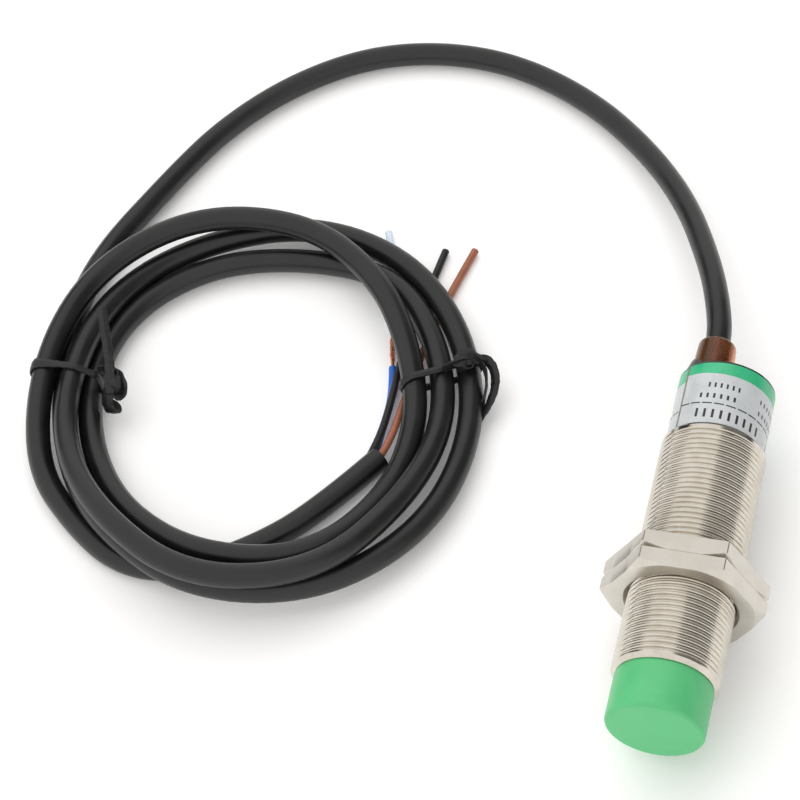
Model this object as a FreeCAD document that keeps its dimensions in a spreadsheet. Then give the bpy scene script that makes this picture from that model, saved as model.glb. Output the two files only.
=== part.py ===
import FreeCAD, Part
import math
import os

import Sketcher
from FreeCAD import Placement, Rotation, Vector

# An M18 inductive proximity sensor with its two jam nuts and about one metre of coiled cable.
# The sensor lies on its nuts along Y: the sensing face looks along -Y and the cable leaves along +Y.
# "Station" below means the distance behind the sensing face, measured along the sensor's axis.

doc = FreeCAD.newDocument("ProximitySensor")
sheet = doc.addObject("Spreadsheet::Sheet", "Sizes")

SIZES = {
    # outside of the sensor
    "cap_radius": 8.25, "cap_length": 8.8, "cap_round": 0.7, "cap_wall": 1.0,
    "skirt_end": 16.0, "skirt_bore_radius": 7.05,
    "barrel_end": 67.8, "barrel_bore_radius": 7.7, "thread_radius": 9.0, "thread_depth": 0.55,
    "thread_pitch": 1.0, "thread_start": 9.9, "thread_end": 53.9, "chamfer_size": 0.7,
    "neck_start": 54.3, "neck_radius": 8.3,
    "label_start": 55.4, "label_end": 67.5, "label_thickness": 0.14, "label_shift": 1.2,
    # jam nuts, across the flats and along the axis
    "nut_flats": 24.0, "nut_thickness": 3.2, "nut_station": 23.6, "nut_bore_radius": 9.06,
    "nut_chamfer_rise": 0.86, "bore_chamfer": 0.65,
    # sensing coil in its pot core
    "core_radius": 6.95, "core_end": 6.5, "core_floor": 1.5, "post_radius": 3.0,
    "post_hole_radius": 1.2, "groove_radius": 5.9, "bobbin_wall": 0.4, "winding_radius": 5.4,
    # electronics
    "board_start": 8.0, "board_end": 58.0, "board_width": 13.0, "board_thickness": 1.0,
    "potting_end": 12.0,
    # rear plug and cable
    "plug_start": 64.3, "plug_flange_end": 66.3, "plug_end": 76.5, "boss_radius": 3.45,
    "boss_tip_radius": 3.05, "boss_round": 0.9, "jacket_radius": 2.2, "jacket_start": 61.5,
    "core_wire_radius": 0.7, "strand_radius": 0.16,
    # coil of cable and its two ties
    "coil_outer_radius": 43.6, "coil_inner_radius": 27.4, "coil_base": 0.6, "coil_height": 8.4,
    "coil_edge": 2.0, "tie_width": 1.8, "tie_thickness": 0.6,
}
for row, (alias, value) in enumerate(SIZES.items(), start=1):
    sheet.set("A%d" % row, alias)
    sheet.set("B%d" % row, str(value))
    sheet.setAlias("B%d" % row, alias)
doc.recompute()

AXIS_HEIGHT = 12.0        # the nuts rest on a flat, so the axis is half the flats above the floor
HALF_LENGTH = 38.25       # the frame's origin is midway between the sensing face and the plug's end
CABLE_OFFSET = -2.9       # the cable leaves beside the axis, next to the indicator lamp
COIL_CENTRE = (-83.5, 19.0)


class Size:
    """A length kept both as a number and as the spreadsheet expression that drives it."""

    def __init__(self, value, text=None):
        self.value, self.text = value, text or repr(value)

    def joined(self, sign, other, value):
        other_text = other.text if isinstance(other, Size) else repr(other)
        return Size(value, "(%s %s %s)" % (self.text, sign, other_text))

    def __add__(self, other):
        return self.joined("+", other, self.value + number(other))

    def __sub__(self, other):
        return self.joined("-", other, self.value - number(other))

    def __mul__(self, other):
        return self.joined("*", other, self.value * number(other))


def number(size):
    return size.value if isinstance(size, Size) else size


def dim(alias):
    return Size(SIZES[alias], "Sizes." + alias)


def bind(obj, **sizes):
    """Drive an object's properties from the spreadsheet."""
    for prop, size in sizes.items():
        setattr(obj, prop, number(size))
        if isinstance(size, Size):
            obj.setExpression(prop, size.text)
    return obj


def on_axis(station=0.0, across=0.0):
    """A placement whose local X runs along the sensor from a station, beside the axis if asked."""
    base = Vector(across, station - HALF_LENGTH, AXIS_HEIGHT)
    return Placement(base, Rotation(Vector(0, 0, 1), 90))


def profile(body, name, corners):
    """A closed sketch through (station, radius) corners, each held by two driven distances."""
    sketch = body.newObject("Sketcher::SketchObject", name)
    points = [Vector(number(x), number(y), 0) for x, y in corners]
    for i, point in enumerate(points):
        sketch.addGeometry(Part.LineSegment(point, points[(i + 1) % len(points)]), False)
    for i in range(len(points)):
        sketch.addConstraint(Sketcher.Constraint("Coincident", i, 2, (i + 1) % len(points), 1))
    for i, corner in enumerate(corners):
        for size, kind, axis in zip(corner, ("DistanceX", "DistanceY"), (-2, -1)):
            if abs(number(size)) < 1e-9:
                sketch.addConstraint(Sketcher.Constraint("PointOnObject", i, 1, axis))
                continue
            held = sketch.addConstraint(Sketcher.Constraint(kind, -1, 1, i, 1, number(size)))
            if isinstance(size, Size):
                sketch.setExpression("Constraints[%d]" % held, size.text)
    return sketch


def turned(label, corners, placement=None, angle=360.0, midplane=False):
    """A part turned about the sensor's axis from its half section."""
    body = doc.addObject("PartDesign::Body", label)
    sketch = profile(body, label + "_section", corners)
    turn = body.newObject("PartDesign::Revolution", label + "_turning")
    turn.Profile = sketch
    turn.ReferenceAxis = (sketch, ["H_Axis"])
    turn.Angle = angle
    turn.Midplane = midplane
    sketch.Visibility = False
    body.Placement = placement or on_axis()
    return body


def rounded(body, radius, keep):
    """Round the edges of the body's last feature that keep(edge) picks."""
    doc.recompute()
    tip = body.Tip
    names = ["Edge%d" % n for n, edge in enumerate(tip.Shape.Edges, start=1) if keep(edge)]
    fillet = body.newObject("PartDesign::Fillet", body.Name + "_rounding")
    fillet.Base = (tip, names)
    bind(fillet, Radius=radius)
    return body


def cylinder(name, radius, height, placement):
    return bind(doc.addObject("Part::Cylinder", name), Radius=radius, Height=height,
                Placement=placement)


def block(name, centre, sizes):
    """A box from its centre (x, station, z above the axis) and its sizes along X, Y and Z."""
    box = doc.addObject("Part::Box", name)
    bind(box, Length=sizes[0], Width=sizes[1], Height=sizes[2])
    half = Vector(*[number(size) / 2 for size in sizes])
    box.Placement.Base = Vector(centre[0], centre[1] - HALF_LENGTH, AXIS_HEIGHT + centre[2]) - half
    return box


def cut(label, base, *tools):
    result = doc.addObject("Part::Cut", label)
    result.Base = base
    result.Tool = tools[0] if len(tools) == 1 else joined(label + "_tools", *tools)
    return result


def joined(label, *parts):
    fuse = doc.addObject("Part::MultiFuse", label)
    fuse.Shapes = list(parts)
    return fuse


def group(label, *parts):
    """Separate solids that share one node."""
    compound = doc.addObject("Part::Compound", label)
    compound.Links = list(parts)
    return compound


def bent_path(points):
    """Straight runs through the points, with a tangent arc at each inner one."""
    points = [Vector(*p) for p in points]
    edges, radii, start = [], [], points[0]
    for before, corner, after in zip(points, points[1:], points[2:]):
        back, ahead = (before - corner), (after - corner)
        run = min(back.Length, ahead.Length)
        half_turn = (math.pi - back.getAngle(ahead)) / 2
        reach = 0.45 * run
        radius = reach / math.tan(half_turn)
        radii.append(radius)
        back.normalize()
        ahead.normalize()
        first, last = corner + back * reach, corner + ahead * reach
        inward = (back + ahead).normalize()
        centre = corner + inward * (radius / math.cos(half_turn))
        middle = centre - inward * radius
        edges.append(Part.LineSegment(start, first).toShape())
        edges.append(Part.Arc(first, middle, last).toShape())
        start = last
    edges.append(Part.LineSegment(start, points[-1]).toShape())
    return Part.Wire(edges), radii


def tube(label, points, radius):
    """A round wire or cable swept along a bent path; its section is driven by the sheet."""
    route = doc.addObject("Part::Feature", label + "_route")
    route.Shape, radii = bent_path(points)
    print("%-20s %6.1f mm long, arc radii in mm: %s" % (
        label, route.Shape.Length, " ".join("%.1f" % r for r in radii)))
    section = bind(doc.addObject("Part::Circle", label + "_section"), Radius=radius)
    ahead = Vector(*points[1]) - Vector(*points[0])
    section.Placement = Placement(Vector(*points[0]), Rotation(Vector(0, 0, 1), ahead))
    sweep = doc.addObject("Part::Sweep", label)
    sweep.Sections = [section]
    sweep.Spine = (route, ["Edge%d" % n for n in range(1, len(route.Shape.Edges) + 1)])
    sweep.Solid = True
    sweep.Frenet = False
    return sweep


def at(x, station, above):
    """A point in the frame from its place across, along and above the sensor's axis."""
    return (x, station - HALF_LENGTH, AXIS_HEIGHT + above)


# ---------------------------------------------------------------- sensing end
cap = turned("sensing_cap", [
    (0.0, 0.0), (0.0, dim("cap_radius")), (dim("cap_length"), dim("cap_radius")),
    (dim("cap_length"), dim("barrel_bore_radius")), (dim("skirt_end"), dim("barrel_bore_radius")),
    (dim("skirt_end"), dim("skirt_bore_radius")), (dim("cap_wall"), dim("skirt_bore_radius")),
    (dim("cap_wall"), 0.0)])
rounded(cap, dim("cap_round"), lambda edge: abs(edge.BoundBox.XMax) < 1e-6
        and abs(edge.BoundBox.YMax - SIZES["cap_radius"]) < 1e-3)

core_blank = turned("pot_core_blank", [
    (dim("cap_wall"), dim("post_hole_radius")), (dim("cap_wall"), dim("post_radius")),
    (dim("core_end") - dim("core_floor"), dim("post_radius")),
    (dim("core_end") - dim("core_floor"), dim("groove_radius")),
    (dim("cap_wall"), dim("groove_radius")), (dim("cap_wall"), dim("core_radius")),
    (dim("core_end"), dim("core_radius")), (dim("core_end"), dim("post_hole_radius"))])
lead_holes = [cylinder("lead_hole", 0.45, 2.0, Placement(
    Vector(*at(x, 4.8, 1.3)), Rotation(Vector(1, 0, 0), -90))) for x in (-4.3, 4.3)]
ferrite = cut("ferrite_core", core_blank, *lead_holes)

flange_out = dim("groove_radius") - 0.1
bobbin = turned("coil_bobbin", [
    (dim("cap_wall"), dim("post_radius")), (dim("cap_wall"), flange_out),
    (dim("cap_wall") + dim("bobbin_wall"), flange_out),
    (dim("cap_wall") + dim("bobbin_wall"), dim("post_radius") + dim("bobbin_wall")),
    (dim("core_end") - dim("core_floor") - dim("bobbin_wall"),
     dim("post_radius") + dim("bobbin_wall")),
    (dim("core_end") - dim("core_floor") - dim("bobbin_wall"), flange_out),
    (dim("core_end") - dim("core_floor"), flange_out),
    (dim("core_end") - dim("core_floor"), dim("post_radius"))])
winding = turned("sensing_coil", [
    (dim("cap_wall") + dim("bobbin_wall"), dim("post_radius") + dim("bobbin_wall")),
    (dim("cap_wall") + dim("bobbin_wall"), dim("winding_radius")),
    (dim("core_end") - dim("core_floor") - dim("bobbin_wall"), dim("winding_radius")),
    (dim("core_end") - dim("core_floor") - dim("bobbin_wall"),
     dim("post_radius") + dim("bobbin_wall"))])

board_top = SIZES["board_thickness"] / 2
coil_leads = group("coil_leads", *[
    tube("coil_lead_%s" % side, [
        at(x, 5.0, 1.3), at(x * 0.98, 8.4, 1.35), at(x * 0.97, 11.5, 1.3),
        at(x * 0.96, 14.2, board_top + 0.3)], dim("strand_radius"))
    for side, x in (("left", -4.3), ("right", 4.3))])

# ---------------------------------------------------------------- electronics
board = block("circuit_board",
              (0.0, (SIZES["board_start"] + SIZES["board_end"]) / 2, 0.0),
              (dim("board_width"), dim("board_end") - dim("board_start"), dim("board_thickness")))


def on_board(name, x, station, sizes):
    """A component body soldered on the board's upper face."""
    return block(name, (x, station, board_top + sizes[2] / 2), sizes)


ic = on_board("detector_ic", 0.0, 24.0, (3.9, 4.9, 1.5))
ic_pins = group("detector_ic_pins", *[
    on_board("ic_pin", side * 2.45, 22.1 + 1.27 * n, (1.0, 0.42, 0.3))
    for side in (-1, 1) for n in range(4)])
transistor = on_board("output_transistor", 2.6, 43.0, (4.5, 2.6, 1.5))
diode = on_board("protection_diode", -2.6, 47.5, (2.6, 4.3, 2.1))
resistors = group("resistors", *[
    on_board("resistor", x, station, (2.0, 1.25, 0.5))
    for x, station in ((-4.3, 17.0), (-1.4, 17.0), (1.4, 17.0), (-4.3, 30.0), (-1.4, 30.0),
                       (4.2, 33.0), (-4.3, 38.0), (2.8, 48.5))])
capacitors = group("capacitors", *[
    on_board("capacitor", x, station, sizes)
    for x, station, sizes in ((4.3, 17.0, (1.25, 2.0, 0.9)), (4.8, 24.0, (1.25, 2.0, 0.9)),
                              (-4.8, 24.0, (1.25, 2.0, 0.9)), (0.6, 35.0, (3.2, 2.6, 1.7)),
                              (-4.3, 42.5, (1.25, 2.0, 0.9)))])
lamp_x = 3.4
lamp = turned("indicator_led", [
    (59.6, 0.0), (59.6, 1.9), (60.6, 1.9), (60.6, 1.5), (63.0, 1.5), (63.8, 0.9), (64.0, 0.0)],
    on_axis(across=lamp_x))
lamp_legs = group("led_legs", *[
    block("led_leg", (lamp_x + side * 1.0, 57.8, board_top + 0.22), (0.45, 3.6, 0.44))
    for side in (-1, 1)])

# ---------------------------------------------------------------- metal barrel
barrel = turned("threaded_barrel", [
    (dim("cap_length"), dim("barrel_bore_radius")),
    (dim("cap_length"), dim("thread_radius") - dim("chamfer_size")),
    (dim("cap_length") + dim("chamfer_size"), dim("thread_radius")),
    (dim("thread_end"), dim("thread_radius")),
    (dim("neck_start"), dim("thread_radius") - 0.4),
    (dim("neck_start"), dim("neck_radius")),
    (dim("barrel_end"), dim("neck_radius")),
    (dim("barrel_end"), dim("barrel_bore_radius"))])
root = dim("thread_radius") - dim("thread_depth")
first = dim("thread_start")
thread_section = profile(barrel, "thread_section", [
    (first, dim("thread_radius") + 0.02), (first + 0.06, dim("thread_radius")),
    (first + 0.38, root), (first + 0.50, root), (first + 0.82, dim("thread_radius")),
    (first + 0.88, dim("thread_radius") + 0.02)])
groove = barrel.newObject("PartDesign::Groove", "thread_groove")
groove.Profile = thread_section
groove.ReferenceAxis = (thread_section, ["H_Axis"])
groove.Angle = 360.0
turns = int((SIZES["thread_end"] - SIZES["thread_start"]) / SIZES["thread_pitch"])
thread = barrel.newObject("PartDesign::LinearPattern", "thread")
thread.Originals = [groove]
thread.Direction = (thread_section, ["H_Axis"])
thread.Occurrences = turns
bind(thread, Length=dim("thread_pitch") * (turns - 1))
barrel.Tip = thread
thread_section.Visibility = False

label_out = dim("neck_radius") + dim("label_thickness")
label_body = turned("label_layer", [
    (dim("label_start"), dim("neck_radius")), (dim("label_start"), label_out),
    (dim("label_end"), label_out), (dim("label_end"), dim("neck_radius"))])
label_lap = turned("label_lap", [
    (dim("label_start") - dim("label_shift") + 0.2, label_out),
    (dim("label_start") - dim("label_shift") + 0.2, label_out + dim("label_thickness")),
    (dim("label_end") - dim("label_shift"), label_out + dim("label_thickness")),
    (dim("label_end") - dim("label_shift"), label_out)],
    angle=40.0, midplane=True)
label = joined("label_wrap", label_body, label_lap)


# ---------------------------------------------------------------- jam nuts
def jam_nut(label, station):
    """A thin hexagon nut, chamfered on the side that faces the sensing end."""
    hexagon = doc.addObject("Part::Prism", label + "_hexagon")
    bind(hexagon, Polygon=6, Circumradius=dim("nut_flats") * (0.5 / math.cos(math.pi / 6)),
         Height=dim("nut_thickness"))
    hexagon.Placement = Placement(Vector(*at(0.0, station, 0.0)), Rotation(Vector(1, 0, 0), -90))
    thick, reach = dim("nut_thickness"), dim("nut_flats") * 0.65
    crown = turned(label + "_crown", [
        (0.0, 0.0), (0.0, dim("nut_flats") * 0.5 - 0.35),
        (dim("nut_chamfer_rise") * 1.45, reach), (thick, reach), (thick, 0.0)], on_axis(station))
    blank = doc.addObject("Part::Common", label + "_blank")
    blank.Base, blank.Tool = hexagon, crown
    wide = dim("nut_bore_radius") + dim("bore_chamfer")
    bore = turned(label + "_bore", [
        (0.0, 0.0), (0.0, wide), (dim("bore_chamfer"), dim("nut_bore_radius")),
        (thick - dim("bore_chamfer"), dim("nut_bore_radius")), (thick, wide), (thick, 0.0)],
        on_axis(station))
    return cut(label, blank, bore)


front_nut = jam_nut("front_nut", SIZES["nut_station"])
rear_nut = jam_nut("rear_nut", SIZES["nut_station"] + SIZES["nut_thickness"])

# ---------------------------------------------------------------- rear plug and potting
flange = turned("plug_flange", [
    (dim("plug_start"), 0.0), (dim("plug_start"), dim("barrel_bore_radius")),
    (dim("plug_flange_end"), dim("barrel_bore_radius")), (dim("plug_flange_end"), 0.0)])
boss = turned("plug_boss", [
    (dim("plug_start"), 0.0), (dim("plug_start"), dim("boss_radius")),
    (dim("barrel_end"), dim("boss_radius")),
    (dim("plug_end"), dim("boss_tip_radius")), (dim("plug_end"), 0.0)],
    on_axis(across=CABLE_OFFSET))
rounded(boss, dim("boss_round"), lambda edge: abs(edge.BoundBox.XMin - SIZES["plug_end"]) < 1e-6
        and edge.BoundBox.YMax > 1.0)
cable_hole = cylinder("cable_hole", dim("jacket_radius"), 20.0, Placement(
    Vector(*at(CABLE_OFFSET, 60.0, 0.0)), Rotation(Vector(1, 0, 0), -90)))
plug = cut("rear_plug", joined("plug_outside", flange, boss), cable_hole)

rear_disc = turned("rear_disc", [
    (dim("plug_flange_end"), 0.0), (dim("plug_flange_end"), dim("barrel_bore_radius")),
    (dim("barrel_end") - 0.15, dim("barrel_bore_radius")), (dim("barrel_end") - 0.15, 0.0)])
rear_rise = turned("rear_rise", [
    (dim("plug_flange_end"), 0.0), (dim("plug_flange_end"), dim("boss_radius") + 1.1),
    (dim("barrel_end") - 0.15, dim("boss_radius") + 1.1),
    (dim("barrel_end") + 1.2, dim("boss_radius") + 0.05), (dim("barrel_end") + 1.2, 0.0)],
    on_axis(across=CABLE_OFFSET))
rear_hole = turned("rear_hole", [
    (dim("plug_flange_end") - 1.0, 0.0), (dim("plug_flange_end") - 1.0, dim("boss_radius")),
    (dim("barrel_end"), dim("boss_radius")), (dim("plug_end"), dim("boss_tip_radius")),
    (dim("plug_end"), 0.0)], on_axis(across=CABLE_OFFSET))
rear_potting = cut("rear_potting", joined("rear_resin", rear_disc, rear_rise), rear_hole)

front_resin = turned("front_resin", [
    (dim("core_end"), 0.0), (dim("core_end"), dim("skirt_bore_radius")),
    (dim("potting_end"), dim("skirt_bore_radius")), (dim("potting_end"), 0.0)])
coil_potting = cut("coil_potting", front_resin, board, coil_leads)

# ---------------------------------------------------------------- wires inside
lead_in = SIZES["jacket_start"]
pad_height = board_top + SIZES["core_wire_radius"] + 0.1


def inner_lead(label, offset, spread_x, pad_x, rise=2.9):
    """A core from the stripped jacket to its solder pad on the board."""
    return tube(label, [
        at(CABLE_OFFSET + offset[0], lead_in - 0.06, offset[1]),
        at(CABLE_OFFSET + offset[0] * 1.08, lead_in - 1.2, offset[1] * 1.04),
        at(spread_x, lead_in - rise, pad_height + 0.6),
        at(pad_x, lead_in - 5.4, pad_height + 0.45), at(pad_x, lead_in - 8.0, pad_height)],
        dim("core_wire_radius"))


core_places = {"brown": (-0.85, 0.5), "black": (0.85, 0.5), "blue": (0.0, -0.95)}
brown_in = inner_lead("inner_lead_brown", core_places["brown"], -5.6, -5.2)
black_in = inner_lead("inner_lead_black", core_places["black"], 0.1, 0.6)
blue_in = inner_lead("inner_lead_blue", core_places["blue"], -2.85, -2.4, 3.4)

pads = [(-5.2, 53.4), (-2.4, 53.4), (0.6, 53.4), (-4.14, 14.3), (4.14, 14.3)]
joints = group("solder_joints", *[
    bind(doc.addObject("Part::Cone", "solder_joint"), Radius1=0.85, Radius2=0.35, Height=0.7,
         Placement=Placement(Vector(*at(x, station, board_top)), Rotation()))
    for x, station in pads])
brown_lead = cut("wire_brown_inside", brown_in, joints)
black_lead = cut("wire_black_inside", black_in, joints)
blue_lead = cut("wire_blue_inside", blue_in, joints)
coil_lead_pair = cut("coil_lead_wires", coil_leads, joints)

# ---------------------------------------------------------------- cable
# The cable leaves the plug level, sinks to the floor and sweeps round into the coil.
FREE_CABLE = [
    at(CABLE_OFFSET, lead_in, 0.0), (-2.9, 45.5, 12.0), (-8.0, 59.0, 9.7),
    (-15.5, 74.5, 6.2), (-25.0, 87.0, 3.8), (-38.0, 98.5, 2.6), (-53.5, 105.5, 2.3),
    (-69.0, 107.0, 2.25), (-84.0, 102.5, 2.22), (-96.0, 94.0, 2.26), (-106.0, 81.0, 2.22),
    (-113.0, 67.5, 2.26), (-118.5, 54.0, 2.4), (-122.0, 38.0, 2.8)]
cable = tube("supply_cable", FREE_CABLE, dim("jacket_radius"))

# The last of the cable runs from under the coil across its middle to a square-cut end.
CABLE_TAIL = [(-84.5, -15.5, 2.72), (-77.0, -11.2, 2.7), (-69.5, -4.2, 2.75), (-58.5, 12.5, 2.7)]
tail = tube("cable_tail", CABLE_TAIL, dim("jacket_radius"))

coil_ring = doc.addObject("PartDesign::Body", "cable_coil")
coil_section = profile(coil_ring, "coil_section", [
    (dim("coil_inner_radius"), dim("coil_base")), (dim("coil_outer_radius"), dim("coil_base")),
    (dim("coil_outer_radius"), dim("coil_base") + dim("coil_height")),
    (dim("coil_inner_radius"), dim("coil_base") + dim("coil_height"))])
coil_turn = coil_ring.newObject("PartDesign::Revolution", "coil_turning")
coil_turn.Profile = coil_section
coil_turn.ReferenceAxis = (coil_section, ["V_Axis"])
coil_turn.Angle = 360.0
coil_section.Visibility = False
rounded(coil_ring, dim("coil_edge"), lambda edge: True)
coil_ring.Placement = Placement(Vector(COIL_CENTRE[0], COIL_CENTRE[1], 0),
                                Rotation(Vector(1, 0, 0), 90))

# Three cores leave the cut jacket and pass under the coil's right-hand side.
cut_end = Vector(*CABLE_TAIL[-1])
away = (cut_end - Vector(*CABLE_TAIL[-2])).normalize()
side = away.cross(Vector(0, 0, 1))


def core_start(across, above):
    """A point just inside the cut jacket, beside its centre line."""
    point = cut_end - away * 3.0 + side * across
    return (point.x, point.y, point.z + above)


black_core = tube("core_black", [
    core_start(-0.7, 0.5), (-58.6, 14.5, 3.3), (-59.2, 24.0, 2.4), (-60.0, 37.0, 0.78),
    (-59.0, 50.0, 0.75), (-58.0, 60.0, 0.8)], dim("core_wire_radius"))
brown_core = tube("core_brown", [
    core_start(0.85, 0.5), (-57.0, 14.5, 3.2), (-57.0, 24.0, 2.3), (-56.6, 37.0, 0.78),
    (-55.0, 50.0, 0.75), (-52.6, 61.0, 0.8)], dim("core_wire_radius"))
blue_core = tube("core_blue", [
    core_start(0.0, -0.95), (-59.6, 17.0, 1.5), (-60.9, 24.0, 0.95), (-61.4, 31.0, 0.78)],
    dim("core_wire_radius"))
strands = tube("copper_strands", [
    (-61.4, 31.0, 0.78), (-61.8, 33.6, 0.9), (-62.6, 38.0, 0.76)], 0.42)
slug = tube("insulation_slug", [
    (-62.6, 38.0, 0.76), (-63.6, 42.0, 0.76), (-65.5, 51.0, 0.74), (-69.3, 61.5, 0.75)],
    dim("core_wire_radius"))


# ---------------------------------------------------------------- ties
def tie(label, angle, knot_radius, knot_sizes, tail_points):
    """A wire tie round the coil's section, with its twisted knot and loose end."""
    width, thick = dim("tie_width"), dim("tie_thickness")
    inner, outer = dim("coil_inner_radius"), dim("coil_outer_radius")
    turn = Rotation(Vector(0, 0, 1), angle)
    centre = Vector(COIL_CENTRE[0], COIL_CENTRE[1], 0)

    def strip(name, start, length, height, base):
        box = bind(doc.addObject("Part::Box", name), Length=length, Width=width, Height=height)
        offset = turn.multVec(Vector(number(start), -SIZES["tie_width"] / 2, base))
        box.Placement = Placement(centre + offset, turn)
        return box

    loop_out = strip(label + "_outside", inner - thick, outer - inner + thick * 2,
                     dim("coil_height") + thick * 2, 0.0)
    loop_in = strip(label + "_inside", inner, outer - inner, dim("coil_height"),
                    SIZES["coil_base"])
    loop_in.Width = 2 * SIZES["tie_width"]
    loop_in.Placement.Base = centre + turn.multVec(
        Vector(SIZES["coil_inner_radius"], -SIZES["tie_width"], SIZES["coil_base"]))
    loop = cut(label + "_loop", loop_out, loop_in)
    knot = doc.addObject("Part::Box", label + "_knot")
    knot.Length, knot.Width, knot.Height = knot_sizes
    knot.Placement = Placement(centre + turn.multVec(
        Vector(knot_radius - knot_sizes[0] / 2, -knot_sizes[1] / 2, 1.2)), turn)
    end = tube(label + "_end", tail_points, 0.6)
    return joined(label, loop, knot, end)


left_tie = tie("left_tie", 180.0, 25.3, (3.2, 5.5, 3.0),
               [(-109.2, 17.0, 4.2), (-110.3, 19.5, 9.4), (-111.8, 24.0, 10.6),
                (-114.5, 32.5, 10.3)])
right_tie = tie("right_tie", 19.0, 44.9, (2.6, 4.0, 3.6),
                [(-40.6, 33.4, 4.6), (-38.6, 32.0, 4.4), (-38.4, 26.5, 2.6), (-42.3, 22.3, 1.6)])

# ---------------------------------------------------------------- files
doc.recompute()
NODES = {
    "threaded_barrel": barrel, "sensing_cap": cap, "ferrite_core": ferrite,
    "coil_bobbin": bobbin, "sensing_coil": winding, "coil_leads": coil_lead_pair,
    "coil_potting": coil_potting, "circuit_board": board, "detector_ic": ic,
    "detector_ic_pins": ic_pins, "output_transistor": transistor, "protection_diode": diode,
    "resistors": resistors, "capacitors": capacitors, "indicator_led": lamp,
    "led_legs": lamp_legs, "solder_joints": joints, "inner_lead_brown": brown_lead,
    "inner_lead_black": black_lead, "inner_lead_blue": blue_lead, "rear_plug": plug,
    "rear_potting": rear_potting, "label_wrap": label, "front_nut": front_nut,
    "rear_nut": rear_nut, "supply_cable": cable, "cable_coil": coil_ring, "cable_tail": tail,
    "core_brown": brown_core, "core_black": black_core, "core_blue": blue_core,
    "copper_strands": strands, "insulation_slug": slug, "left_tie": left_tie,
    "right_tie": right_tie,
}
for name, obj in NODES.items():
    for other in doc.Objects:
        if other is not obj and other.Label == name:
            other.Label = name + "_raw"
    obj.Label = name

broken = [obj.Label for obj in doc.Objects if "Invalid" in obj.State or "Error" in obj.State]
broken += [name for name, obj in NODES.items() if obj.Shape.isNull() or not obj.Shape.isValid()]
if broken:
    raise RuntimeError("these objects failed: %s" % broken)
os.makedirs("parts", exist_ok=True)
for name, obj in NODES.items():
    print("%-20s %2d solid(s) %10.2f mm3" % (name, len(obj.Shape.Solids), obj.Shape.Volume))
    obj.Shape.exportStep("parts/%s.step" % name)
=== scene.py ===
import math

import bmesh
import bpy
from mathutils import Matrix, Vector
from mathutils import noise as perlin


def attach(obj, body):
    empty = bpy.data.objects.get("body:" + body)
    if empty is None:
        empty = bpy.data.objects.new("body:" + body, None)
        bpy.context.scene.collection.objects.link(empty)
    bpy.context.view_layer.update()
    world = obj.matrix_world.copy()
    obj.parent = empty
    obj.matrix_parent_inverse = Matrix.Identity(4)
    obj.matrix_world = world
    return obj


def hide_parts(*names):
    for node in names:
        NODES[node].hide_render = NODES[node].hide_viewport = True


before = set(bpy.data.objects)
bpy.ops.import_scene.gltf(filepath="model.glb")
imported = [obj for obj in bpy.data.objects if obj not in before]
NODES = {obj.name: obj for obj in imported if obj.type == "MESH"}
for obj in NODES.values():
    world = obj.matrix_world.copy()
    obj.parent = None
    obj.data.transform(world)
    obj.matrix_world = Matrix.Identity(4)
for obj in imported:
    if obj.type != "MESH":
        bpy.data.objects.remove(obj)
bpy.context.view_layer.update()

# Lengths below are in millimetres in the row frame; MM turns them into metres.
# "Station" is the distance behind the sensing face, and the sensor's axis runs along Y.
MM = 0.001
AXIS_HEIGHT = 12.0
HALF_LENGTH = 38.25
CABLE_OFFSET = -2.9
JACKET_RADIUS = 2.2
CORE_RADIUS = 0.7


# ------------------------------------------------------------------ materials
def material(name, base, roughness=0.5, metallic=0.0, **sockets):
    """A Principled material; sockets are constants set on the shader itself."""
    mat = bpy.data.materials.new(name)
    mat.use_nodes = True
    shader = mat.node_tree.nodes["Principled BSDF"]
    shader.inputs["Base Color"].default_value = (*base, 1.0)
    shader.inputs["Roughness"].default_value = roughness
    shader.inputs["Metallic"].default_value = metallic
    for socket, value in sockets.items():
        shader.inputs[socket.replace("_", " ")].default_value = value
    return mat


def add_node(mat, kind):
    return mat.node_tree.nodes.new(kind)


def link(mat, out_node, out_name, in_node, in_name):
    mat.node_tree.links.new(out_node.outputs[out_name], in_node.inputs[in_name])


def noise_of(mat, scale, detail=3.0, roughness=0.55, stretch=(1.0, 1.0, 1.0)):
    """A noise texture in object space, in features per metre, stretched if asked."""
    coord = add_node(mat, "ShaderNodeTexCoord")
    mapping = add_node(mat, "ShaderNodeMapping")
    mapping.inputs["Scale"].default_value = stretch
    link(mat, coord, "Object", mapping, "Vector")
    tex = add_node(mat, "ShaderNodeTexNoise")
    tex.inputs["Scale"].default_value = scale
    tex.inputs["Detail"].default_value = detail
    tex.inputs["Roughness"].default_value = roughness
    link(mat, mapping, "Vector", tex, "Vector")
    return tex


def vary_colour(mat, tex, low, high, start=0.35, stop=0.65):
    """Blend the base colour between two tones with a texture."""
    ramp = add_node(mat, "ShaderNodeValToRGB")
    ramp.color_ramp.elements[0].position = start
    ramp.color_ramp.elements[1].position = stop
    ramp.color_ramp.elements[0].color = (*low, 1.0)
    ramp.color_ramp.elements[1].color = (*high, 1.0)
    link(mat, tex, "Fac", ramp, "Fac")
    shader = mat.node_tree.nodes["Principled BSDF"]
    link(mat, ramp, "Color", shader, "Base Color")
    return ramp


def vary_roughness(mat, tex, low, high):
    span = add_node(mat, "ShaderNodeMapRange")
    span.inputs["To Min"].default_value = low
    span.inputs["To Max"].default_value = high
    span.inputs["From Min"].default_value = 0.3
    span.inputs["From Max"].default_value = 0.7
    link(mat, tex, "Fac", span, "Value")
    link(mat, span, "Result", mat.node_tree.nodes["Principled BSDF"], "Roughness")


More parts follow.
